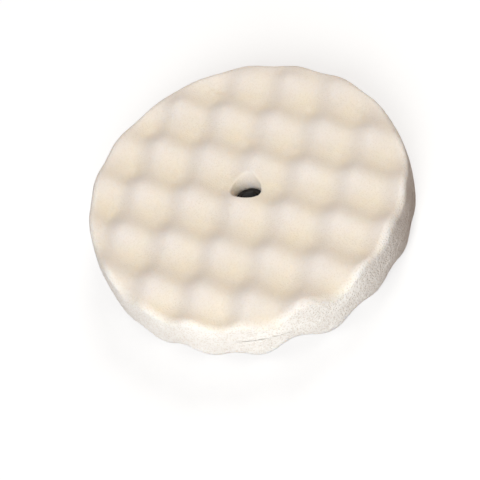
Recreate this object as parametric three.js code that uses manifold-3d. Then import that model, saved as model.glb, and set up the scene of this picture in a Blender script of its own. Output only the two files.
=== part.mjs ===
// Double-sided egg-crate foam polishing pad with a quick-connect hub, 8 inch size.
// Millimetres, +Z up. The origin is the hub's centre on the pad's mid-plane, +Z points out of the
// front face and +X runs along the rows of bumps.

import * as THREE from 'three';
import { mergeVertices } from 'three/addons/utils/BufferGeometryUtils.js';
import Module from 'manifold-3d';

// Foam discs
const padDiameter = 203.2;
const padThickness = 41; // over the bump tops of both faces
const bumpPitch = 33;
const bumpHeight = 10; // bump top to the bottom of a dimple
const rimRounding = 4; // radius of the soft edge between rim and face
const rimBulge = 0.5; // how far the rim swells at the mid-plane
const rimFadeWidth = 16; // ring along the rim where the bumps get lower
const rimFade = 0.75; // share of the bump height that is lost at the rim, on the smoothest side
const rimLift = 2.7; // how far the dimples fill up there
const frontBumpShift = [-0.6, -9.9]; // a bump top nearest the centre, front face
const frontSmoothSide = 130; // azimuth of the front face's smoothest rim, degrees
const backBumpShift = [15, -5.8]; // a bump top on the back face, seen from the back
const backBumpTurn = 5.8; // degrees between the two faces' rows
const backSmoothSide = -105; // azimuth of the back face's smoothest rim, seen from the back

// Support disc and adhesive
const discDiameter = 152;
const discThickness = 1.6;
const filmThickness = 0.4;
const filmMargin = 4; // bare foam between the film's edge and the rim

// Hub
const flangeDiameter = 64;
const flangeThickness = 2;
const flangeEdgeChamfer = 0.6;
const collarWall = 2; // outside the socket's corners
const collarHeight = 5.6; // collar face above the mid-plane
const collarChamfer = 0.5;
const socketAcrossFlats = 12;
const socketLeadIn = 0.6; // chamfer at the socket's mouth
const detentDepth = 0.9; // groove for the adaptor's spring, at the parting plane
const detentHeight = 1.2; // half the groove's height
const ribCount = 6;
const ribThickness = 1.6;
const ribRise = 1.5; // rib height above the flange
const ribReach = 10; // rib length outwards from the collar

// Rivets
const rivetCount = 6;
const rivetEdgeDistance = 7; // rivet centre to the flange's edge
const rivetShankDiameter = 4;
const rivetHeadDiameter = 7.4;
const rivetHeadHeight = 1.3;
const rivetCrown = 1.5; // width of the slope round the head's flat top
const rivetTailDiameter = 6.4;
const rivetTailHeight = 1.3;
const rivetEdge = 0.4; // blunt edge of head and tail
const rivetHollowDiameter = 2; // hollow end of the rolled tail
const rivetHollowDepth = 0.65;

// Fits
const seatGap = 0.3; // between pieces that rest on each other
const collarClearance = 0.7; // radial, collar in the foam's hole
const rivetClearance = 0.3; // radial, shank in its hole
const flangeClearance = 1; // radial, foam pocket round the flange
const stepClearance = 0.8; // radial, film and foam steps round an edge below them

// Facets
const foamSegments = 72;
const foamRings = 18;
const rimSteps = 3;
const roundSegments = 40;
const smallSegments = 16;
const cutterOverrun = 1; // how far a cutting solid runs past what it cuts

const padRadius = padDiameter / 2;
const flatsToCorner = 1 / Math.cos(Math.PI / 6); // hexagon's corner radius over its inner radius
const collarRadius = (socketAcrossFlats / 2) * flatsToCorner + collarWall;
const holeRadius = collarRadius + collarClearance;
const flangeRadius = flangeDiameter / 2;
const rivetCircleRadius = flangeRadius - rivetEdgeDistance;
const discRadius = discDiameter / 2;
const faceMiddle = padThickness / 2 - bumpHeight / 2; // height halfway up the bumps
const flangeBottom = discThickness / 2 + seatGap;
const flangeTop = flangeBottom + flangeThickness;
const filmOverDisc = discThickness / 2 + seatGap;
const filmPastDisc = seatGap / 2;
const filmInnerRadius = flangeRadius + flangeClearance;
const filmOuterRadius = padRadius - filmMargin;
const filmStepRadius = discRadius + stepClearance;
const foamStepRadius = filmStepRadius + filmThickness + stepClearance;
const foamOverDisc = filmOverDisc + filmThickness + seatGap;
const foamPastDisc = filmPastDisc + filmThickness + seatGap;
const ribTop = flangeTop + ribRise;
const rivetReach = seatGap + Math.max(rivetHeadHeight, rivetTailHeight); // beyond the flange
const pocketTop = Math.max(ribTop, flangeTop + rivetReach) + seatGap;
const pocketRadius = flangeRadius + flangeClearance;

const wasm = await Module();
wasm.setup();

function makeMaterial(color, roughness, metalness = 0) {
  return new THREE.MeshStandardMaterial({ color, roughness, metalness });
}

function makeMesh(name, geometry, material) {
  const mesh = new THREE.Mesh(geometry, material);
  mesh.name = name;
  return mesh;
}

function toSolid(geometry) {
  const bare = geometry.clone();
  bare.deleteAttribute('normal');
  bare.deleteAttribute('uv');
  const merged = mergeVertices(bare);
  return new wasm.Manifold(
    new wasm.Mesh({
      numProp: 3,
      vertProperties: new Float32Array(merged.attributes.position.array),
      triVerts: new Uint32Array(merged.index.array),
    }),
  );
}

function toGeometry(solid) {
  const mesh = solid.getMesh();
  const geometry = new THREE.BufferGeometry();
  geometry.setAttribute('position', new THREE.BufferAttribute(new Float32Array(mesh.vertProperties), 3));
  geometry.setIndex(new THREE.BufferAttribute(new Uint32Array(mesh.triVerts), 1));
  geometry.computeVertexNormals();
  return geometry;
}

// A profile of [radius, height] points turned about Z. Points run so that the faces point out.
function turned(profile, segments) {
  const points = profile.map(([radius, height]) => new THREE.Vector2(radius, height));
  return new THREE.LatheGeometry(points, segments).rotateX(Math.PI / 2);
}

// A closed ring profile, given anticlockwise in the plane of radius and height.
function turnedRing(profile, segments) {
  return turned([...profile, profile[0]], segments);
}

function cylinderAt(radius, bottom, top, x, y, segments) {
  const shape = new THREE.CylinderGeometry(radius, radius, top - bottom, segments);
  return shape.rotateX(Math.PI / 2).translate(x, y, (top + bottom) / 2);
}

// How much the egg-crate shape is smoothed at a place: 0 over most of the face, 1 at the smoothest rim.
function smoothing(x, y, smoothSide) {
  const towardsRim = THREE.MathUtils.smoothstep(Math.hypot(x, y), padRadius - rimFadeWidth, padRadius);
  const fromSmoothSide = Math.atan2(y, x) - THREE.MathUtils.degToRad(smoothSide);
  return (towardsRim * (1 + Math.cos(fromSmoothSide))) / 2;
}

// Height of the egg-crate face above the mid-plane: one cosine along each direction of the rows.
function bumpFace(shift, turnDegrees, smoothSide) {
  const turn = THREE.MathUtils.degToRad(turnDegrees);
  const wave = (2 * Math.PI) / bumpPitch;
  return (x, y) => {
    const along = x * Math.cos(turn) + y * Math.sin(turn) - shift[0];
    const across = y * Math.cos(turn) - x * Math.sin(turn) - shift[1];
    const smooth = smoothing(x, y, smoothSide);
    const waves = (Math.cos(wave * along) + Math.cos(wave * across)) * (1 - rimFade * smooth);
    return faceMiddle + rimLift * smooth + (bumpHeight / 4) * waves;
  };
}

// Points of the foam's section whose height doesn't follow the bumps, from the hole outwards.
function foamUnderside() {
  return [
    [holeRadius, pocketTop],
    [pocketRadius, pocketTop],
    [pocketRadius, foamOverDisc],
    [foamStepRadius, foamOverDisc],
    [foamStepRadius, foamPastDisc],
    [filmOuterRadius + stepClearance, foamPastDisc],
    [filmOuterRadius + stepClearance, seatGap / 2],
    [padRadius, seatGap / 2],
  ];
}

// Points of the face and rim, from the rim inwards: [radius, share of the bump face's height, drop].
function foamTopside() {
  const faceRadius = padRadius - rimBulge;
  const roundCentre = faceRadius - rimRounding;
  const halfUp = 0.5;
  const points = [[padRadius - rimBulge * halfUp ** 2, halfUp, 0]];
  for (let step = 0; step <= rimSteps; step += 1) {
    const angle = (step / rimSteps) * (Math.PI / 2);
    points.push([roundCentre + rimRounding * Math.cos(angle), 1, rimRounding * (1 - Math.sin(angle))]);
  }
  for (let ring = 1; ring <= foamRings; ring += 1) {
    points.push([roundCentre + (holeRadius - roundCentre) * (ring / foamRings), 1, 0]);
  }
  return points;
}

// One foam disc: its section is turned about Z, and the upper points follow the bump face.
function foamDisc(heightAt) {
  const under = foamUnderside().map(([radius, height]) => ({ radius, at: () => height }));
  const top = foamTopside().map(([radius, share, drop]) => ({
    radius,
    at: (x, y) => share * heightAt(x, y) - drop,
  }));
  const section = [...under, ...top];
  const positions = [];
  const faces = [];
  for (let turn = 0; turn < foamSegments; turn += 1) {
    const angle = (turn / foamSegments) * 2 * Math.PI;
    for (const point of section) {
      const x = point.radius * Math.cos(angle);
      const y = point.radius * Math.sin(angle);
      positions.push(x, y, point.at(x, y));
    }
  }
  const count = section.length;
  for (let turn = 0; turn < foamSegments; turn += 1) {
    const here = turn * count;
    const next = ((turn + 1) % foamSegments) * count;
    for (let i = 0; i < count; i += 1) {
      const j = (i + 1) % count;
      faces.push(here + i, next + i, next + j, here + i, next + j, here + j);
    }
  }
  const geometry = new THREE.BufferGeometry();
  geometry.setAttribute('position', new THREE.Float32BufferAttribute(positions, 3));
  geometry.setIndex(faces);
  geometry.computeVertexNormals();
  return geometry;
}

// Thin film of cured adhesive that lies on the support disc and steps down past its edge.
function adhesiveFilm() {
  const film = filmThickness;
  return turnedRing(
    [
      [filmInnerRadius, filmOverDisc],
      [filmStepRadius, filmOverDisc],
      [filmStepRadius, filmPastDisc],
      [filmOuterRadius, filmPastDisc],
      [filmOuterRadius, filmPastDisc + film],
      [filmStepRadius + film, filmPastDisc + film],
      [filmStepRadius + film, filmOverDisc + film],
      [filmInnerRadius, filmOverDisc + film],
    ],
    roundSegments,
  );
}

function rivetPlaces() {
  const places = [];
  for (let i = 0; i < rivetCount; i += 1) {
    const angle = ((i + 0.5) / rivetCount) * 2 * Math.PI;
    places.push([rivetCircleRadius * Math.cos(angle), rivetCircleRadius * Math.sin(angle)]);
  }
  return places;
}

function cutRivetHoles(solid, bottom, top) {
  let cut = solid;
  const radius = rivetShankDiameter / 2 + rivetClearance;
  for (const [x, y] of rivetPlaces()) {
    cut = cut.subtract(toSolid(cylinderAt(radius, bottom, top, x, y, smallSegments)));
  }
  return cut;
}

// Hexagonal prism or frustum on Z, sized across its flats, with flats facing plus and minus X.
function hexagon(flatsBelow, flatsAbove, bottom, top) {
  const above = (flatsAbove / 2) * flatsToCorner;
  const below = (flatsBelow / 2) * flatsToCorner;
  const shape = new THREE.CylinderGeometry(above, below, top - bottom, 6);
  return toSolid(shape.rotateX(Math.PI / 2).translate(0, 0, (top + bottom) / 2));
}

function supportDisc() {
  const half = discThickness / 2;
  const plate = turnedRing(
    [
      [collarRadius, -half],
      [discRadius, -half],
      [discRadius, half],
      [collarRadius, half],
    ],
    roundSegments,
  );
  return toGeometry(cutRivetHoles(toSolid(plate), -discThickness, discThickness));
}

// Flange, collar and the short spigot that centres the hub in the support disc's bore.
function hubBody() {
  const spigotRadius = collarRadius - seatGap;
  return toSolid(
    turned(
      [
        [0, seatGap / 2],
        [spigotRadius, seatGap / 2],
        [spigotRadius, flangeBottom],
        [flangeRadius, flangeBottom],
        [flangeRadius, flangeTop - flangeEdgeChamfer],
        [flangeRadius - flangeEdgeChamfer, flangeTop],
        [collarRadius, flangeTop],
        [collarRadius, collarHeight - collarChamfer],
        [collarRadius - collarChamfer, collarHeight],
        [0, collarHeight],
      ],
      roundSegments,
    ),
  );
}

function hubRib(index) {
  const start = collarRadius - ribThickness / 2;
  const end = collarRadius + ribReach;
  const outline = new THREE.Shape();
  outline.moveTo(start, flangeTop - flangeThickness / 2);
  outline.lineTo(end, flangeTop - flangeThickness / 2);
  outline.lineTo(end, flangeTop);
  outline.lineTo(start, ribTop);
  outline.closePath();
  const rib = new THREE.ExtrudeGeometry(outline, { depth: ribThickness, bevelEnabled: false });
  rib.translate(0, 0, -ribThickness / 2).rotateX(Math.PI / 2);
  return toSolid(rib.rotateZ((index / ribCount) * 2 * Math.PI));
}

function socketCutter() {
  const mouth = socketAcrossFlats + 2 * socketLeadIn;
  const groove = socketAcrossFlats + 2 * detentDepth;
  const above = collarHeight + cutterOverrun;
  return hexagon(socketAcrossFlats, socketAcrossFlats, -cutterOverrun, above)
    .add(hexagon(socketAcrossFlats, mouth, collarHeight - socketLeadIn, collarHeight))
    .add(hexagon(mouth, mouth, collarHeight, above))
    .add(hexagon(groove, socketAcrossFlats, detentHeight, detentHeight + detentDepth))
    .add(hexagon(groove, groove, -cutterOverrun, detentHeight));
}

// One half of the moulded hub. Both halves are alike and meet at the mid-plane.
function hubHalf() {
  let solid = hubBody();
  for (let i = 0; i < ribCount; i += 1) {
    solid = solid.add(hubRib(i));
  }
  solid = solid.subtract(socketCutter());
  return toGeometry(cutRivetHoles(solid, 0, collarHeight));
}

// Semi-tubular rivet: crowned head over the front flange, rolled tail over the back flange.
function rivet() {
  const shank = rivetShankDiameter / 2;
  const head = rivetHeadDiameter / 2;
  const tail = rivetTailDiameter / 2;
  const hollow = rivetHollowDiameter / 2;
  const seat = flangeTop + seatGap;
  const low = -seat - rivetTailHeight;
  const high = seat + rivetHeadHeight;
  return turned(
    [
      [0, low + rivetHollowDepth],
      [hollow, low + rivetHollowDepth],
      [hollow + rivetHollowDepth, low],
      [tail - rivetEdge, low],
      [tail, low + rivetEdge],
      [tail, -seat],
      [shank, -seat],
      [shank, seat],
      [head, seat],
      [head, seat + rivetEdge],
      [head - rivetCrown, high],
      [0, high],
    ],
    smallSegments,
  );
}

const foamMaterial = () => makeMaterial(0xefe4cf, 0.95);
const filmMaterial = () => makeMaterial(0xd9c79a, 0.5);
const discMaterial = () => makeMaterial(0x2b2b2b, 0.7);
const hubMaterial = () => makeMaterial(0x141414, 0.45);
const rivetMaterial = () => makeMaterial(0xb9bcc0, 0.35, 1);

// What belongs to one face of the pad, built on the +Z side.
function padSide(side, heightAt) {
  const group = new THREE.Group();
  group.add(makeMesh(`${side}_foam`, foamDisc(heightAt), foamMaterial()));
  group.add(makeMesh(`${side}_adhesive`, adhesiveFilm(), filmMaterial()));
  group.add(makeMesh(`${side}_hub_half`, hubHalf(), hubMaterial()));
  return group;
}

function rivets() {
  const group = new THREE.Group();
  rivetPlaces().forEach(([x, y], index) => {
    const mesh = makeMesh(`hub_rivet_${index + 1}`, rivet(), rivetMaterial());
    mesh.position.set(x, y, 0);
    group.add(mesh);
  });
  return group;
}

const pad = new THREE.Group();
pad.add(padSide('front', bumpFace(frontBumpShift, 0, frontSmoothSide)));
const backSide = padSide('back', bumpFace(backBumpShift, backBumpTurn, backSmoothSide));
backSide.rotation.x = Math.PI;
pad.add(backSide);
pad.add(makeMesh('support_disc', supportDisc(), discMaterial()));
pad.add(rivets());

export default pad;
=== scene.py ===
import itertools
import math

import bmesh
import bpy
import numpy as np
from mathutils import Matrix, Vector


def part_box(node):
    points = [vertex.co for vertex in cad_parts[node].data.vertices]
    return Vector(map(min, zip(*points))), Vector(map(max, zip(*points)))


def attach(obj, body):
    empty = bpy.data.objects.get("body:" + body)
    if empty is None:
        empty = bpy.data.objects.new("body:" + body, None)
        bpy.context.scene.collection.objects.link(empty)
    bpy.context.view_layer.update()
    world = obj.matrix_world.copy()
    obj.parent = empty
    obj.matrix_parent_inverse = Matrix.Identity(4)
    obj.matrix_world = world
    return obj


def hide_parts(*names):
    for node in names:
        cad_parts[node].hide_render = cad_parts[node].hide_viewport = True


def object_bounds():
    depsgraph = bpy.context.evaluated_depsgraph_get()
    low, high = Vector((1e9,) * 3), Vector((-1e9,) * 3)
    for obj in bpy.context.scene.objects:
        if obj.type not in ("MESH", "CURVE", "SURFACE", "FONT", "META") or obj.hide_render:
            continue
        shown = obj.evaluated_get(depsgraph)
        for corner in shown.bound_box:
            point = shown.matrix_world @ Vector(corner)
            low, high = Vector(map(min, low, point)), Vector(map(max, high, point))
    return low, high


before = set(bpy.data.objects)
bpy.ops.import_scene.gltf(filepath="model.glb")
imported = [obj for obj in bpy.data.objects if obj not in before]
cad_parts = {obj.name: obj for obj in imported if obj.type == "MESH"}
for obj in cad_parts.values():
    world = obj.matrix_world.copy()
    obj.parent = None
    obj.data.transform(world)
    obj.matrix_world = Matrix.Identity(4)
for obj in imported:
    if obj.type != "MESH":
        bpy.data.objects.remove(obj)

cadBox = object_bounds()
fullTurn = 2 * math.pi
sameSpot = 0.00001  # measures this close count as the same


def nodePoints(node):
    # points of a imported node, with heights counted away from the pad's mid-plane
    points = np.array([vertex.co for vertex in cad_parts[node].data.vertices])
    points[:, 2] = np.abs(points[:, 2])
    return points


def nodeRadii(node):
    radii = np.hypot(*nodePoints(node)[:, :2].T)
    return float(radii.min()), float(radii.max())


def nodeHeights(node):
    low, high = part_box(node)
    return min(abs(low.z), abs(high.z)), max(abs(low.z), abs(high.z))


def lumpyNoise(points, size, seed):
    # smooth noise from -1 to 1, in lumps about as wide as size; the long numbers only shuffle the bits
    place = points / size
    cell = np.floor(place).astype(np.int64)
    share = place - cell
    share = share * share * (3 - 2 * share)
    total = np.zeros(len(points))
    for corner in itertools.product((0, 1), repeat=3):
        x, y, z = (cell + np.array(corner)).T
        mixed = (x * 73856093) ^ (y * 19349663) ^ (z * 83492791) ^ (seed * 26544357)
        mixed = ((mixed ^ (mixed >> 13)) * 1274126177) & 0xFFFFFFFF
        mixed = ((mixed ^ (mixed >> 15)) * 668265263) & 0xFFFFFFFF
        weight = np.prod(np.where(np.array(corner) == 1, share, 1 - share), axis=1)
        total += weight * ((mixed & 0xFFFF) / 32767.5 - 1)
    return total


def meshPiece(name, points, faces, smooth=True):
    mesh = bpy.data.meshes.new(name)
    mesh.from_pydata([tuple(point) for point in points], [], faces)
    mesh.update()
    mesh.polygons.foreach_set("use_smooth", [smooth] * len(mesh.polygons))
    piece = bpy.data.objects.new(name, mesh)
    bpy.context.scene.collection.objects.link(piece)
    return piece


def stitchRings(counts):
    # triangles between neighbouring rings with their own numbers of points; the last meets the first
    starts = np.concatenate(([0], np.cumsum(counts)))
    faces = []
    for ring, countA in enumerate(counts):
        other = (ring + 1) % len(counts)
        countB = counts[other]
        a, b = int(starts[ring]), int(starts[other])
        i = j = 0
        while i < countA or j < countB:
            if j >= countB or (i < countA and (i + 1) * countB <= (j + 1) * countA):
                faces.append((a + i, a + (i + 1) % countA, b + j % countB))
                i += 1
            else:
                faces.append((a + i % countA, b + (j + 1) % countB, b + j))
                j += 1
    return faces


def faceOutwards(piece):
    edit = bmesh.new()
    edit.from_mesh(piece.data)
    bmesh.ops.recalc_face_normals(edit, faces=edit.faces)
    edit.to_mesh(piece.data)
    edit.free()


def turnedPiece(name, profile, segments):
    # closed profile of (radius, height) points turned about the spin axis
    points = []
    for radius, height in profile:
        for step in range(segments):
            angle = fullTurn * step / segments
            points.append((radius * math.cos(angle), radius * math.sin(angle), height))
    rings = len(profile)
    faces = []
    for ring, step in itertools.product(range(rings), range(segments)):
        here, above = ring * segments, (ring + 1) % rings * segments
        after = (step + 1) % segments
        faces.append((here + step, here + after, above + after, above + step))
    piece = meshPiece(name, points, faces)
    faceOutwards(piece)
    return piece


def stackedPiece(name, sections, sides, startAngle=0.0, centres=((0, 0),)):
    # straight-sided column through (corner radius, height) sections, repeated at each centre
    points, faces = [], []
    for x, y in centres:
        base = len(points)
        for radius, height in sections:
            for side in range(sides):
                angle = startAngle + fullTurn * side / sides
                points.append((x + radius * math.cos(angle), y + radius * math.sin(angle), height))
        for level, side in itertools.product(range(len(sections) - 1), range(sides)):
            here, above = base + level * sides, base + (level + 1) * sides
            after = (side + 1) % sides
            faces.append((here + side, here + after, above + after, above + side))
        last = base + (len(sections) - 1) * sides
        faces.append(tuple(base + side for side in reversed(range(sides))))
        faces.append(tuple(last + side for side in range(sides)))
    return meshPiece(name, points, faces)


def turnOver(piece):
    # half turn about X: what was built for the front becomes the back
    piece.data.transform(Matrix.Rotation(math.pi, 4, "X"))


def applyModifiers(piece):
    depsgraph = bpy.context.evaluated_depsgraph_get()
    finished = bpy.data.meshes.new_from_object(piece.evaluated_get(depsgraph))
    piece.modifiers.clear()
    piece.data = finished


def combine(piece, tool, operation):
    change = piece.modifiers.new("change", "BOOLEAN")
    change.operation = operation
    change.solver = "EXACT"
    change.object = tool
    applyModifiers(piece)
    bpy.data.objects.remove(tool)


def softenEdges(piece, width, steps, sharpFrom):
    bevel = piece.modifiers.new("soften", "BEVEL")
    bevel.width = width
    bevel.segments = steps
    bevel.limit_method = "ANGLE"
    bevel.angle_limit = math.radians(sharpFrom)
    piece.modifiers.new("shading", "WEIGHTED_NORMAL")
    applyModifiers(piece)


def startMaterial(name):
    material = bpy.data.materials.new(name)
    material.use_nodes = True
    tree = material.node_tree
    return material, tree, tree.nodes.new("ShaderNodeTexCoord").outputs["Object"]


def feed(tree, given, socket):
    if isinstance(given, bpy.types.NodeSocket):
        tree.links.new(given, socket)
    elif isinstance(given, tuple) and socket.type == "RGBA":
        socket.default_value = (*given, 1)
    else:
        socket.default_value = given


def noiseOf(tree, place, lump, detail=2.0, stretch=(1, 1, 1)):
    mapping = tree.nodes.new("ShaderNodeMapping")
    mapping.inputs["Scale"].default_value = stretch
    tree.links.new(place, mapping.inputs["Vector"])
    noise = tree.nodes.new("ShaderNodeTexNoise")
    tree.links.new(mapping.outputs["Vector"], noise.inputs["Vector"])
    noise.inputs["Scale"].default_value = 1 / lump
    noise.inputs["Detail"].default_value = detail
    return noise.outputs["Fac"]


def cellsOf(tree, place, width):
    cells = tree.nodes.new("ShaderNodeTexVoronoi")
    tree.links.new(place, cells.inputs["Vector"])
    cells.inputs["Scale"].default_value = 1 / width
    return cells.outputs["Distance"]


def spread(tree, source, low, high, toLow=0.0, toHigh=1.0):
    node = tree.nodes.new("ShaderNodeMapRange")
    for socket, given in zip(node.inputs, (source, low, high, toLow, toHigh)):
        feed(tree, given, socket)
    return node.outputs["Result"]


def times(tree, first, second):
    node = tree.nodes.new("ShaderNodeMath")
    node.operation = "MULTIPLY"
    feed(tree, first, node.inputs[0])
    feed(tree, second, node.inputs[1])
    return node.outputs[0]


def blendColors(tree, share, first, second, kind="MIX"):
    node = tree.nodes.new("ShaderNodeMix")
    node.data_type = "RGBA"
    node.blend_type = kind
    colorSockets = [socket for socket in node.inputs if socket.type == "RGBA"]
    feed(tree, share, node.inputs["Factor"])
    feed(tree, first, colorSockets[0])
    feed(tree, second, colorSockets[1])
    return next(socket for socket in node.outputs if socket.type == "RGBA")


def attributeOf(tree, name):
    node = tree.nodes.new("ShaderNodeAttribute")
    node.attribute_name = name
    return node.outputs["Fac"]


def bumpFrom(tree, height, distance, strength, under=None):
    node = tree.nodes.new("ShaderNodeBump")
    node.inputs["Distance"].default_value = distance
    feed(tree, strength, node.inputs["Strength"])
    tree.links.new(height, node.inputs["Height"])
    if under is not None:
        tree.links.new(under, node.inputs["Normal"])
    return node.outputs["Normal"]


def finishMaterial(material, color, roughness, normal, **plain):
    tree = material.node_tree
    shader = tree.nodes["Principled BSDF"]
    feed(tree, color, shader.inputs["Base Color"])
    feed(tree, roughness, shader.inputs["Roughness"])
    tree.links.new(normal, shader.inputs["Normal"])
    for key, given in plain.items():
        feed(tree, given, shader.inputs[key])
    return material


def dress(piece, material, node):
    piece.data.materials.clear()
    piece.data.materials.append(material)
    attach(piece, "root")
    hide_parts(node)


cameraLook = {
    "azimuth": 37.55,  # degrees round the pad from -Y
    "elevation": 51.29,
    "distance": 1.369,
    "roll": -21.64,
    "aimRight": -0.0072,  # where it points, from the pad's centre, in its own picture plane
    "aimUp": -0.0214,
    "lens": 165.0,
    "nearClip": 0.05,
}


def makeCamera():
    look = cameraLook
    azimuth, elevation = math.radians(look["azimuth"]), math.radians(look["elevation"])
    level = math.cos(elevation)
    back = Vector((math.sin(azimuth) * level, -math.cos(azimuth) * level, math.sin(elevation)))
    roll = Matrix.Rotation(math.radians(look["roll"]), 4, "Z").to_quaternion()
    turn = back.to_track_quat("Z", "Y") @ roll
    data = bpy.data.cameras.new("camera")
    data.lens = look["lens"]
    data.clip_start = look["nearClip"]
    camera = bpy.data.objects.new("camera", data)
    camera.rotation_mode = "QUATERNION"
    camera.rotation_quaternion = turn
    camera.location = back * look["distance"] + turn @ Vector((look["aimRight"], look["aimUp"], 0))
    bpy.context.scene.collection.objects.link(camera)
    bpy.context.scene.camera = camera
    print("camera ready")


makeCamera()

foamShape = {
    "grain": 0.00072,  # spacing of the surface points
    "bumpPitch": 0.033,
    "bumpHeight": 0.0102,
    "rimRounding": 0.005,
    "rimBulge": 0.0005,
    "fadeWidth": 0.016,  # ring along the rim where the bumps get lower
    "fade": 0.75,  # share of their height lost at the smoothest rim
    "lift": 0.0027,  # how far the dimples fill up there
    "drift": 0.0009,  # how far the rows wander
    "driftSize": 0.045,
    "holeRounding": 0.0016,
    "holeBends": 4,
    "holeGrain": 0.00108,  # spacing of the rings down the hole
    "holeLean": (-0.0026, 0.0034),  # how far the soft edge of each hole is pushed over
    "leanEven": 0.72,  # share of that which the near edge gets too
    "leanReach": 0.022,
    "seamRounding": 0.00012,
    "seamLip": 0.00036,  # how far in from the rim the underside starts to drop to the seam
    "seamSlant": 0.3,  # where the rounding's middle point lies, as a share of it
    "seamGap": 0.00001,  # foam to the mid-plane, at the rim
    "seamReach": 0.0005,  # height over which the rim stays square to the mid-plane
    "bounceLightShift": (-0.0019, -0.0031),  # how far the painted bounce light (a lighter, creamier colour) is moved from the dimples, towards the front lamps
    "uneven": 0.0004,
    "unevenSize": 0.022,
    "poreWidth": 0.0016,
    "poreDepth": 0.00006,
    "rimPoreDepth": 0.00014,
    "knifeLines": 0.00007,  # fine lines that run round the cut rim
    "knifeLineWidth": 0.0011,
    "knifeLineStretch": 0.09,
    "cutSeed": 11,
    "fill": 0.9,
}
bumpPatterns = {
    "front": {"shift": (-0.0006, -0.0099), "turn": 0, "smoothSide": 130, "seed": 11},
    "back": {"shift": (0.0150, -0.0058), "turn": 5.8, "smoothSide": -105, "seed": 47},
}
hiddenPoints = 96  # points in a ring that can't be seen
justOver = 1.01


def faceHeights(points, top, rim, pattern):
    # the egg-crate face: one cosine each way, lower and fuller towards the rim's smooth side
    shape = foamShape
    turn = math.radians(pattern["turn"])
    wave = fullTurn / shape["bumpPitch"]
    x, y = points[:, 0], points[:, 1]
    drift = shape["drift"] * lumpyNoise(points * (1, 1, 0), shape["driftSize"], pattern["seed"])
    along = x * math.cos(turn) + y * math.sin(turn) - pattern["shift"][0] + drift
    across = y * math.cos(turn) - x * math.sin(turn) - pattern["shift"][1] - drift
    fromRim = (rim - np.hypot(x, y)) / shape["fadeWidth"]
    smooth = np.clip(1 - fromRim, 0, 1)
    smooth = smooth * smooth * (3 - 2 * smooth)
    smooth *= (1 + np.cos(np.arctan2(y, x) - math.radians(pattern["smoothSide"]))) / 2
    waves = (np.cos(wave * along) + np.cos(wave * across)) * (1 - shape["fade"] * smooth)
    middle = top - shape["bumpHeight"] / 2 + shape["lift"] * smooth
    return middle + shape["bumpHeight"] / 4 * waves


def foamRings(side):
    # rings of the closed section, as radius, number of points, share of the rim's look, share of the
    # lean, share of the roughness, and height from the face's own height
    shape = foamShape
    seam, top = nodeHeights(f"{side}_foam")
    hole, rim = nodeRadii(f"{side}_foam")
    under = nodePoints(f"{side}_foam")
    pocketTop = under[np.hypot(under[:, 0], under[:, 1]) < hole * justOver, 2].min()
    pocketEdge = nodeRadii(f"{side}_adhesive")[0]
    filmEdge, filmTop = nodeRadii(f"{side}_adhesive")[1], nodeHeights(f"{side}_adhesive")[1]
    clear = seam * 2
    rounding, grain = shape["rimRounding"], shape["grain"]
    roundCentre = rim - shape["rimBulge"] - rounding
    full = round(fullTurn * rim / grain)
    rings = []

    def level(radius, height, count=hiddenPoints):
        rings.append((radius, count, 0, 0, 0, lambda face: np.full(len(face), height)))

    def follow(radius, rimShare, heightOf, count=None, lean=1):
        spaced = max(hiddenPoints, round(fullTurn * radius / grain))
        rings.append((radius, count or spaced, rimShare, lean, 1, heightOf))

    level(hole, pocketTop)
    level(pocketEdge, pocketTop)
    level(pocketEdge, filmTop + clear)
    level(filmEdge + clear, filmTop + clear)
    level(filmEdge + clear, seam)
    lip, gap = shape["seamRounding"], shape["seamGap"]
    slant = lip * shape["seamSlant"]
    level(rim - shape["seamLip"], seam, full // 2)
    follow(rim - lip, 1, lambda face: np.full(len(face), gap), full)
    follow(rim - slant, 1, lambda face: np.full(len(face), gap + slant), full)
    follow(rim, 1, lambda face: np.full(len(face), gap + lip * 2), full)
    steps = round((top - shape["bumpHeight"] / 2 - rounding) / grain)
    start = gap + lip
    for step in range(1, steps):
        up = step / steps
        follow(rim - shape["rimBulge"] * up ** 2, 1,
               lambda face, up=up: start + (face - rounding - start) * up, full)
    bends = round(rounding * math.pi / 2 / grain)
    for step in range(bends + 1):
        angle = step / bends * math.pi / 2
        drop = rounding * (1 - math.sin(angle))
        follow(roundCentre + rounding * math.cos(angle), 1 - step / bends,
               lambda face, drop=drop: face - drop)
    edge = hole + shape["holeRounding"]
    steps = round((roundCentre - edge) / grain)
    for step in range(1, steps + 1):
        follow(roundCentre + (edge - roundCentre) * step / steps, 0, lambda face: face)
    mouth = shape["holeRounding"]
    for step in range(1, shape["holeBends"] + 1):
        angle = step / shape["holeBends"] * math.pi / 2
        drop = mouth * (1 - math.cos(angle))
        follow(edge - mouth * math.sin(angle), 0, lambda face, drop=drop: face - drop)
    steps = round((top - pocketTop) / shape["holeGrain"])
    for step in range(1, steps):
        down = step / steps
        follow(hole, 0, lambda face, down=down: (face - mouth) * (1 - down) + pocketTop * down,
               lean=1 - down)
    return rings, top, rim


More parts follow.
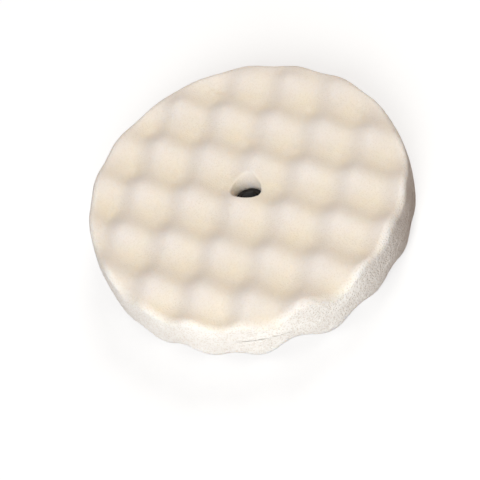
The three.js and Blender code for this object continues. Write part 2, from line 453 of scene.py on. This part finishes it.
def foamPoints(side):
    # points ring by ring, the number in each ring, and three shares that go with every point
    rings, top, rim = foamRings(side)
    points, rimShares, roughness, crests = [], [], [], []
    hole = rings[0][0]
    for radius, count, rimShare, leanShare, roughShare, heightOf in rings:
        angles = np.arange(count) * fullTurn / count
        near = max(0, 1 - (radius - hole) / foamShape["leanReach"])
        lean = leanShare * near * near * (3 - 2 * near)
        push = foamShape["holeLean"]
        away = np.cos(angles - math.atan2(push[1], push[0]))
        lean = lean * (foamShape["leanEven"] + (1 - foamShape["leanEven"]) * away)
        ring = np.zeros((count, 3))
        ring[:, 0] = radius * np.cos(angles) + lean * push[0]
        ring[:, 1] = radius * np.sin(angles) + lean * push[1]
        face = faceHeights(ring, top, rim, bumpPatterns[side])
        ring[:, 2] = heightOf(face)
        points.append(ring)
        rimShares.append(np.full(count, float(rimShare)))
        roughness.append(np.full(count, float(roughShare)))
        # painted light: the crest share is taken on the face moved towards the front lamps, and its low
        # values get the lighter, creamier dimple colour
        shiftedFace = faceHeights(ring - (*foamShape["bounceLightShift"], 0), top, rim, bumpPatterns[side])
        crests.append(1 - (top - shiftedFace) / foamShape["bumpHeight"])
    counts = [len(ring) for ring in points]
    crests = np.clip(np.concatenate(crests), 0, 1)
    return np.concatenate(points), counts, np.concatenate(rimShares), np.concatenate(roughness), crests


def roughenFoam(piece, side, rimShare, roughness):
    # uneven cutting, open pores and the knife's lines, moved along the surface normals; both foams
    # follow one cut, so that they meet at the seam
    shape = foamShape
    mesh = piece.data
    size = len(mesh.vertices) * 3
    places, normals = np.zeros(size), np.zeros(size)
    mesh.vertices.foreach_get("co", places)
    mesh.vertices.foreach_get("normal", normals)
    places, normals = places.reshape(-1, 3), normals.reshape(-1, 3)
    spots = places * ((1, -1, -1) if side == "back" else (1, 1, 1))
    atSeam = (rimShare == 1) & (places[:, 2] < shape["seamReach"])
    normals[atSeam, 2] = 0
    normals /= np.linalg.norm(normals, axis=1)[:, None]
    uneven = shape["uneven"] * lumpyNoise(spots, shape["unevenSize"], shape["cutSeed"])
    depth = shape["poreDepth"] + (shape["rimPoreDepth"] - shape["poreDepth"]) * rimShare
    pores = depth * lumpyNoise(spots, shape["poreWidth"], shape["cutSeed"] + 1)
    stretch = shape["knifeLineStretch"]
    lines = lumpyNoise(spots * (stretch, stretch, 1), shape["knifeLineWidth"], shape["cutSeed"] + 3)
    lines *= shape["knifeLines"] * rimShare
    places = places + normals * ((uneven + pores + lines) * roughness)[:, None]
    mesh.vertices.foreach_set("co", places.reshape(-1))
    mesh.update()


def addShare(piece, name, values):
    attribute = piece.data.attributes.new(name, "FLOAT", "POINT")
    attribute.data.foreach_set("value", values.astype(np.float32))


foamLook = {
    "crest": (0.83, 0.79, 0.745),
    # painted light: the dimple colour is lighter and creamier than the crest colour, standing in for
    # light bounced in the hollows
    "dimple": (0.88, 0.81, 0.68),
    "rim": (0.98, 0.965, 0.925),
    # painted shade: the amber colour that darkens the pits of the pores and the hollows of the fine
    # grain
    "pitShadeColor": (0.66, 0.52, 0.36),
    "poreWidth": 0.0013,
    "poreShade": 0.10,
    "rimPoreShade": 0.42,
    "faceBump": 0.45,
    "rimBump": 0.9,
    "fineWidth": 0.00045,
    "fineShade": 0.10,
    "mottleWidth": 0.012,
    "mottleShare": 0.35,
    "lineWidth": 0.011,  # knife lines, along the rim
    "lineStretch": 13,
    "poreBumpDepth": 0.0003,
    "fineBumpDepth": 0.00015,
    "lineBumpDepth": 0.0005,
    "lineBump": 0.6,
    "roughness": 0.95,
    "specular": 0.15,
    "sheen": 0.15,
    "sheenRoughness": 0.6,
    "faceSoftness": 0.7,  # share of the light that goes into the foam and spreads there
    "cutSoftness": 0.0,
    "softDepth": 0.006,
    "softColor": (1.0, 0.88, 0.74),
}


def foamMaterial(name, softness):
    look = foamLook
    material, tree, place = startMaterial(name)
    crest, rim = attributeOf(tree, "crest"), attributeOf(tree, "rimShare")
    # painted light: where the crest share is low, in the dimples and towards the front lamps, the colour
    # turns lighter and creamier for light bounced in the hollows
    color = blendColors(tree, spread(tree, crest, 0.15, 0.9), look["dimple"], look["crest"])
    color = blendColors(tree, rim, color, look["rim"])
    clouds = noiseOf(tree, place, look["mottleWidth"], 3)
    mottle = spread(tree, clouds, 0.35, 0.65, 0.0, look["mottleShare"])
    color = blendColors(tree, mottle, color, look["crest"])
    pores = spread(tree, cellsOf(tree, place, look["poreWidth"]), 0.05, 0.5)
    fine = noiseOf(tree, place, look["fineWidth"], 2)
    # painted shade: the pits of the pores and the hollows of the fine grain, low in the bumps below, are
    # darkened, more on the cut rim than on the face
    rimPores = spread(tree, rim, 0, 1, look["poreShade"], look["rimPoreShade"])
    poreShade = times(tree, spread(tree, pores, 0, 1, 1, 0), rimPores)
    color = blendColors(tree, poreShade, color, look["pitShadeColor"], "MULTIPLY")
    fineShade = spread(tree, fine, 0.35, 0.65, look["fineShade"], 0.0)
    color = blendColors(tree, fineShade, color, look["pitShadeColor"], "MULTIPLY")
    strength = spread(tree, rim, 0, 1, look["faceBump"], look["rimBump"])
    lines = times(tree, noiseOf(tree, place, look["lineWidth"], 2, (1, 1, look["lineStretch"])), rim)
    normal = bumpFrom(tree, pores, look["poreBumpDepth"], strength)
    normal = bumpFrom(tree, fine, look["fineBumpDepth"], strength, normal)
    normal = bumpFrom(tree, lines, look["lineBumpDepth"], look["lineBump"], normal)
    plain = {
        "Specular IOR Level": look["specular"],
        "Sheen Weight": look["sheen"],
        "Sheen Roughness": look["sheenRoughness"],
        "Subsurface Weight": softness,
        "Subsurface Scale": look["softDepth"],
        "Subsurface Radius": look["softColor"],
    }
    return finishMaterial(material, color, look["roughness"], normal, **plain)


def wearCutRim(piece, material, rimShare):
    # the upright rim shows the knife's cut, without the soft glow of the moulded face
    piece.data.materials.append(material)
    corners = np.zeros(len(piece.data.polygons) * 3, dtype=np.int64)
    piece.data.polygons.foreach_get("vertices", corners)
    upright = rimShare[corners].reshape(-1, 3).min(axis=1) == 1
    piece.data.polygons.foreach_set("material_index", upright.astype(np.int32))


def makeFoam(side, material, rimMaterial):
    points, counts, rimShare, roughness, crest = foamPoints(side)
    piece = meshPiece(f"{side}FoamDisc", points, stitchRings(counts))
    faceOutwards(piece)
    roughenFoam(piece, side, rimShare, roughness)
    addShare(piece, "rimShare", rimShare)
    # the crest share also places the painted bounce light in the dimples
    addShare(piece, "crest", crest)
    if side == "back":
        turnOver(piece)
    dress(piece, material, f"{side}_foam")
    wearCutRim(piece, rimMaterial, rimShare)
    print(f"{side} foam ready, {len(piece.data.polygons)} faces")


creamFoam = foamMaterial("creamFoam", foamLook["faceSoftness"])
cutFoam = foamMaterial("cutFoam", foamLook["cutSoftness"])
for side in ("front", "back"):
    makeFoam(side, creamFoam, cutFoam)

hubShape = {
    "segments": 120,
    "boreStart": 0.003,  # anything inside the socket, which is cut out afterwards
    "spigotClearance": 0.0003,
    "flangeChamfer": 0.0006,
    "collarChamfer": 0.0005,
    "collarFillet": 0.0006,
    "ribCount": 6,
    "ribThickness": 0.0016,
    "ribReach": 0.010,
    "ribRise": 0.0015,
    "ribEnd": 0.0002,  # rib's height over the flange at its outer end
    "holeSides": 48,
    "socketLeadIn": 0.0006,
    "detentHeight": 0.0012,
    "detentDepth": 0.0009,
    "overrun": 0.001,
    "softEdge": 0.00014,
    "softSteps": 2,
}
hexagonTurn = math.pi / 6
sharpAngle = 40  # edges that turn by more than this, in degrees, count as edges


def hubMeasures():
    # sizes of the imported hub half, measured on its points
    points = nodePoints("front_hub_half")
    radii, heights = np.hypot(points[:, 0], points[:, 1]), points[:, 2]
    top, flange = heights.max(), radii.max()
    atFlange = heights[radii > flange - sameSpot]
    return {
        "bottom": heights.min(),
        "top": top,
        "flange": flange,
        "flangeBottom": atFlange.min(),
        "flangeTop": atFlange.max() + hubShape["flangeChamfer"],
        "collar": radii[heights > top - sameSpot].max() + hubShape["collarChamfer"],
        "socketCorner": radii.min(),
    }


def rivetCentres():
    centres = []
    for node in sorted(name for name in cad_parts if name.startswith("hub_rivet")):
        low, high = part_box(node)
        centres.append((node, ((low.x + high.x) / 2, (low.y + high.y) / 2)))
    return centres


def rivetHoles(radius, bottom, top):
    centres = [centre for _, centre in rivetCentres()]
    sections = [(radius, bottom), (radius, top)]
    return stackedPiece("rivetHoles", sections, hubShape["holeSides"], centres=centres)


def roundedCorner(radius, height, size, startAngle, steps=4):
    # quarter circle in a profile, from startAngle on, anticlockwise for a positive size
    arc = []
    for step in range(steps + 1):
        angle = math.radians(startAngle + 90 * step / steps * (1 if size > 0 else -1))
        arc.append((radius + abs(size) * math.cos(angle), height + abs(size) * math.sin(angle)))
    return arc


def hubRibs(hub):
    # sloping ribs from the collar out over the flange
    shape = hubShape
    inner, outer = hub["collar"] - shape["ribThickness"] / 2, hub["collar"] + shape["ribReach"]
    bottom, top = (hub["flangeBottom"] + hub["flangeTop"]) / 2, hub["flangeTop"] + shape["ribRise"]
    half = shape["ribThickness"] / 2
    end = hub["flangeTop"] + shape["ribEnd"]
    outline = ((inner, bottom), (outer, bottom), (outer, end), (inner, top))
    points, faces = [], []
    for rib in range(shape["ribCount"]):
        turn = Matrix.Rotation(fullTurn * rib / shape["ribCount"], 4, "Z")
        base = len(points)
        for y, (x, z) in itertools.product((-half, half), outline):
            points.append(turn @ Vector((x, y, z)))
        near = [base + corner for corner in range(4)]
        far = [corner + 4 for corner in near]
        faces += [tuple(near), tuple(reversed(far))]
        for corner in range(4):
            after = (corner + 1) % 4
            faces.append((near[corner], far[corner], far[after], near[after]))
    return meshPiece("ribs", points, faces)


def socketCutter(hub):
    # hexagonal hole with a lead-in at its mouth and the spring's groove at the parting plane
    shape = hubShape
    straight = hub["socketCorner"]
    perFlat = 1 / math.cos(hexagonTurn)
    groove, mouth = straight + shape["detentDepth"] * perFlat, straight + shape["socketLeadIn"] * perFlat
    sections = [
        (groove, -shape["overrun"]),
        (groove, shape["detentHeight"]),
        (straight, shape["detentHeight"] + shape["detentDepth"]),
        (straight, hub["top"] - shape["socketLeadIn"]),
        (mouth, hub["top"]),
        (mouth, hub["top"] + shape["overrun"]),
    ]
    return stackedPiece("socket", sections, 6, startAngle=hexagonTurn)


def makeHubHalf():
    shape, hub = hubShape, hubMeasures()
    spigot = hub["collar"] - shape["spigotClearance"]
    chamfer, fillet = shape["flangeChamfer"], shape["collarFillet"]
    brim = shape["collarChamfer"]
    profile = [(shape["boreStart"], hub["bottom"]), (spigot, hub["bottom"])]
    profile += [(spigot, hub["flangeBottom"]), (hub["flange"], hub["flangeBottom"])]
    profile += roundedCorner(hub["flange"] - chamfer, hub["flangeTop"] - chamfer, chamfer, 0)
    profile += roundedCorner(hub["collar"] + fillet, hub["flangeTop"] + fillet, -fillet, 270)
    profile += roundedCorner(hub["collar"] - brim, hub["top"] - brim, brim, 0)
    profile += [(shape["boreStart"], hub["top"])]
    piece = turnedPiece("frontHubHalf", profile, shape["segments"])
    combine(piece, hubRibs(hub), "UNION")
    combine(piece, socketCutter(hub), "DIFFERENCE")
    combine(piece, rivetHoles(rivetMeasures()["hole"], -shape["overrun"], hub["top"]), "DIFFERENCE")
    softenEdges(piece, shape["softEdge"], shape["softSteps"], sharpAngle)
    return piece


rivetShape = {
    "segments": 64,
    "clearance": 0.0003,
    "edge": 0.0004,
    "edgeSteps": 3,
    "domeSteps": 10,
    "domeFullness": 3,
    "rollRadius": 0.0006,
    "rollSteps": 8,
    "hollow": 0.0010,
    "hollowFloor": 0.00084,  # over the tail's lowest point
    "tip": 0.00002,  # radius left open at the spin axis
}


def rivetMeasures():
    # a packed rivet's radii and heights; its head is over the front, its tail over the back
    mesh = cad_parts["hub_rivet_1"].data
    centre = rivetCentres()[0][1]
    points = np.array([vertex.co for vertex in mesh.vertices])
    radii = np.hypot(points[:, 0] - centre[0], points[:, 1] - centre[1])
    heights = points[:, 2]
    seat = heights[radii > radii.max() - sameSpot].min()
    shank = radii[np.abs(heights - seat) < sameSpot].min()
    return {
        "head": radii.max(),
        "tail": radii[heights < 0].max(),
        "shank": shank,
        "hole": shank + rivetShape["clearance"],
        "seat": seat,
        "high": heights.max(),
        "low": heights.min(),
    }


def makeRivet(node, centre):
    shape, rivet = rivetShape, rivetMeasures()
    head, tail, shank, seat = (rivet[key] for key in ("head", "tail", "shank", "seat"))
    edge, roll = shape["edge"], shape["rollRadius"]
    rise = rivet["high"] - seat - edge
    profile = [(shank, seat), (head - edge / 2, seat)]
    profile += roundedCorner(head - edge, seat + edge, edge, 0, shape["edgeSteps"])[:2]
    for step in range(1, shape["domeSteps"] + 1):
        out = 1 - step / shape["domeSteps"]
        height = seat + edge + rise * math.sqrt(1 - out ** shape["domeFullness"])
        profile.append((max(shape["tip"], (head - edge) * out), height))
    hollowFloor = rivet["low"] + shape["hollowFloor"]
    profile += [(shape["tip"], hollowFloor), (shape["hollow"], hollowFloor)]
    middle, half = (shape["hollow"] + tail) / 2, (tail - shape["hollow"]) / 2
    for step in range(shape["rollSteps"] + 1):
        angle = math.pi + math.pi * step / shape["rollSteps"]
        height = rivet["low"] + roll + roll * math.sin(angle)
        profile.append((middle + half * math.cos(angle), height))
    profile += [(tail, -seat), (shank, -seat)]
    piece = turnedPiece(node.replace("hub_rivet_", "hubRivet"), profile, shape["segments"])
    piece.data.transform(Matrix.Translation((*centre, 0)))
    piece.data.shade_smooth()
    piece.data.set_sharp_from_angle(angle=math.radians(sharpAngle))
    return piece


discShape = {"segments": 240, "softEdge": 0.0003, "softSteps": 3}


def makeSupportDisc():
    shape = discShape
    bore, rim = nodeRadii("support_disc")
    half = nodeHeights("support_disc")[1]
    profile = [(bore, -half), (rim, -half), (rim, half), (bore, half)]
    piece = turnedPiece("supportDisc", profile, shape["segments"])
    combine(piece, rivetHoles(rivetMeasures()["hole"], -2 * half, 2 * half), "DIFFERENCE")
    softenEdges(piece, shape["softEdge"], shape["softSteps"], sharpAngle)
    return piece


filmShape = {
    "grain": 0.0016,
    "grainAround": 0.002,
    "uneven": 0.00007,  # brushed ridges in the cured film
    "unevenSize": 0.005,
    "unevenStretch": 0.35,
    "seeds": {"front": 5, "back": 6},
}


def filmSection(side):
    # radii and heights of the film's section: over the disc, then down past the disc's rim
    node = f"{side}_adhesive"
    inner, outer = nodeRadii(node)
    low, high = nodeHeights(node)
    points = nodePoints(node)
    radii, heights = np.hypot(points[:, 0], points[:, 1]), points[:, 2]
    upper = heights[np.abs(radii - inner) < sameSpot].min()
    thick = high - upper
    step = radii[(radii > inner + 10 * sameSpot) & (np.abs(heights - upper) < sameSpot)].max()
    return inner, outer, low, upper, step, thick


def makeFilm(side):
    shape = filmShape
    inner, outer, low, upper, step, thick = filmSection(side)
    floorLine, topLine = [], []
    for start, end, height in ((inner, step, upper), (step, outer, low)):
        count = max(2, round((end - start) / shape["grain"]))
        for index in range(count + 1):
            radius = start + (end - start) * index / count
            atStep = height == upper and index == count
            floorLine.append((radius, height))
            topLine.append((radius + thick if atStep else radius, height + thick))
    topLine = [(radius, height) for radius, height in topLine if height > upper or radius > step + thick]
    topLine.insert(sum(height > upper for _, height in topLine), (step + thick, low + thick))
    segments = round(fullTurn * outer / shape["grainAround"])
    piece = turnedPiece(f"{side}Adhesive", floorLine + topLine[::-1], segments)
    mesh = piece.data
    places = np.zeros(len(mesh.vertices) * 3)
    mesh.vertices.foreach_get("co", places)
    places = places.reshape(-1, 3)
    radii = np.hypot(places[:, 0], places[:, 1])
    onTop = np.abs(places[:, 2] - np.where(radii < step + thick / 2, upper, low)) > thick / 2
    flat = places * (1, shape["unevenStretch"], 0)
    brushed = lumpyNoise(flat, shape["unevenSize"], shape["seeds"][side])
    places[:, 2] -= onTop * shape["uneven"] * (1 + brushed)
    mesh.vertices.foreach_set("co", places.reshape(-1))
    mesh.update()
    return piece


plasticLook = {
    "grain": 0.0004,
    "grainDepth": 0.00003,
    "grainBump": 0.6,
    "wear": 0.006,
    "glossier": 0.08,
    "duller": 0.12,
    "specular": 0.5,
}
hubLook = {"base": (0.010, 0.010, 0.011), "dusty": (0.035, 0.033, 0.030), "roughness": 0.42}
discLook = {"base": (0.028, 0.028, 0.030), "dusty": (0.060, 0.058, 0.052), "roughness": 0.6}


def plasticMaterial(name, own):
    # moulded black plastic: fine spark texture, cloudy gloss and a little foam dust
    look = plasticLook
    material, tree, place = startMaterial(name)
    cloud = noiseOf(tree, place, look["wear"], 4)
    color = blendColors(tree, spread(tree, cloud, 0.45, 0.75), own["base"], own["dusty"])
    smoothest, roughest = own["roughness"] - look["glossier"], own["roughness"] + look["duller"]
    gloss = spread(tree, cloud, 0.3, 0.7, smoothest, roughest)
    normal = bumpFrom(tree, noiseOf(tree, place, look["grain"]), look["grainDepth"], look["grainBump"])
    return finishMaterial(material, color, gloss, normal, **{"Specular IOR Level": look["specular"]})


steelLook = {
    "bright": (0.66, 0.66, 0.64),
    "dull": (0.50, 0.50, 0.47),
    "clouds": 0.002,
    "lines": 0.0002,
    "lineDepth": 0.00001,
    "lineBump": 0.5,
    "smoothest": 0.26,
    "roughest": 0.42,
}


def steelMaterial():
    # zinc plated steel with drawing lines and cloudy plating
    look = steelLook
    material, tree, place = startMaterial("zincSteel")
    cloud = noiseOf(tree, place, look["clouds"], 3)
    lines = noiseOf(tree, place, look["lines"], 2, (1, 0.15, 1))
    color = blendColors(tree, spread(tree, cloud, 0.35, 0.65), look["bright"], look["dull"])
    gloss = spread(tree, cloud, 0.3, 0.7, look["smoothest"], look["roughest"])
    normal = bumpFrom(tree, lines, look["lineDepth"], look["lineBump"])
    return finishMaterial(material, color, gloss, normal, Metallic=1.0)


filmLook = {
    "thin": (0.78, 0.68, 0.42),
    "thick": (0.60, 0.47, 0.22),
    "streaks": 0.004,
    "streakDepth": 0.0002,
    "streakBump": 0.6,
    "thinRoughness": 0.55,
    "thickRoughness": 0.35,
    "specular": 0.5,
}


def filmMaterial():
    # cured contact adhesive, darker where it was brushed on thicker
    look = filmLook
    material, tree, place = startMaterial("curedAdhesive")
    streaks = noiseOf(tree, place, look["streaks"], 4, (1, 0.3, 1))
    color = blendColors(tree, spread(tree, streaks, 0.3, 0.7), look["thin"], look["thick"])
    gloss = spread(tree, streaks, 0.3, 0.7, look["thinRoughness"], look["thickRoughness"])
    normal = bumpFrom(tree, streaks, look["streakDepth"], look["streakBump"])
    return finishMaterial(material, color, gloss, normal, **{"Specular IOR Level": look["specular"]})


def makeHub():
    plastic = plasticMaterial("blackNylon", hubLook)
    front = makeHubHalf()
    back = bpy.data.objects.new("backHubHalf", front.data.copy())
    bpy.context.scene.collection.objects.link(back)
    turnOver(back)
    dress(front, plastic, "front_hub_half")
    dress(back, plastic, "back_hub_half")
    print(f"hub halves ready, {len(front.data.polygons)} faces each")


makeHub()
dress(makeSupportDisc(), plasticMaterial("coreSheet", discLook), "support_disc")
print("support disc ready")

zincSteel = steelMaterial()
for node, centre in rivetCentres():
    dress(makeRivet(node, centre), zincSteel, node)
print("rivets ready")

curedAdhesive = filmMaterial()
for side in ("front", "back"):
    film = makeFilm(side)
    if side == "back":
        turnOver(film)
    dress(film, curedAdhesive, f"{side}_adhesive")
print("adhesive films ready")

studio = {
    "floorSize": 12.0,
    "floorRoughness": 0.9,
    "floorSpecular": 0.1,
    "floorColor": (0.42, 0.42, 0.42),
    "floorGlow": 0.66,
    "floorGlowTint": (0.985, 0.995, 1.0),
    "worldSeen": 0.97,
    "worldLight": 0.11,
    "worldTint": (1.0, 0.50, 0.26),
    "lampDistance": 2.8,
    "lampSize": 1.5,
}
lamps = {
    "front": {"azimuth": 287, "elevation": 37, "power": 62.0, "color": (0.98, 1, 1)},
    "back": {"azimuth": 93, "elevation": 38, "power": 45.0, "color": (1, 0.985, 0.94)},
    "lowFront": {"azimuth": 268, "elevation": 7, "power": 26.0, "color": (0.9, 0.96, 1)},
    "lowRight": {"azimuth": 312, "elevation": 9, "power": 12.0, "color": (0.95, 1, 1)},
}


def makeFloor():
    low = cadBox[0].z
    half = studio["floorSize"] / 2
    corners = [(-half, -half, low), (half, -half, low), (half, half, low), (-half, half, low)]
    floor = meshPiece("floor", corners, [(0, 1, 2, 3)], smooth=False)
    floor.visible_diffuse = False  # the pad's underside stays in shade
    material, tree, _ = startMaterial("palePaper")
    shader = tree.nodes["Principled BSDF"]
    shader.inputs["Base Color"].default_value = (*studio["floorColor"], 1)
    shader.inputs["Roughness"].default_value = studio["floorRoughness"]
    shader.inputs["Specular IOR Level"].default_value = studio["floorSpecular"]
    shader.inputs["Emission Color"].default_value = (*studio["floorGlowTint"], 1)
    shader.inputs["Emission Strength"].default_value = studio["floorGlow"]
    floor.data.materials.append(material)


def makeLamp(name, lamp):
    azimuth, elevation = math.radians(lamp["azimuth"]), math.radians(lamp["elevation"])
    level = math.cos(elevation)
    towards = Vector((math.cos(azimuth) * level, math.sin(azimuth) * level, math.sin(elevation)))
    data = bpy.data.lights.new(name, "AREA")
    data.shape = "DISK"
    data.size = studio["lampSize"]
    data.energy = lamp["power"]
    data.color = lamp["color"]
    light = bpy.data.objects.new(name, data)
    light.location = towards * studio["lampDistance"]
    light.rotation_mode = "QUATERNION"
    light.rotation_quaternion = towards.to_track_quat("Z", "Y")
    bpy.context.scene.collection.objects.link(light)


def makeWorld():
    # the camera sees a brighter world than the one that lights the pad
    world = bpy.data.worlds.new("studio")
    world.use_nodes = True
    tree = world.node_tree
    tree.nodes.clear()
    path = tree.nodes.new("ShaderNodeLightPath")
    mix = tree.nodes.new("ShaderNodeMixShader")
    output = tree.nodes.new("ShaderNodeOutputWorld")
    skies = ((1, studio["worldLight"], studio["worldTint"]), (2, studio["worldSeen"], (1, 1, 1)))
    for slot, strength, tint in skies:
        glow = tree.nodes.new("ShaderNodeBackground")
        glow.inputs["Color"].default_value = (*tint, 1)
        glow.inputs["Strength"].default_value = strength
        tree.links.new(glow.outputs[0], mix.inputs[slot])
    tree.links.new(path.outputs["Is Camera Ray"], mix.inputs[0])
    tree.links.new(mix.outputs[0], output.inputs["Surface"])
    bpy.context.scene.world = world


makeFloor()
for name, lamp in lamps.items():
    makeLamp(name, lamp)
makeWorld()
bpy.context.scene.view_settings.view_transform = "Standard"
print("floor and light ready")
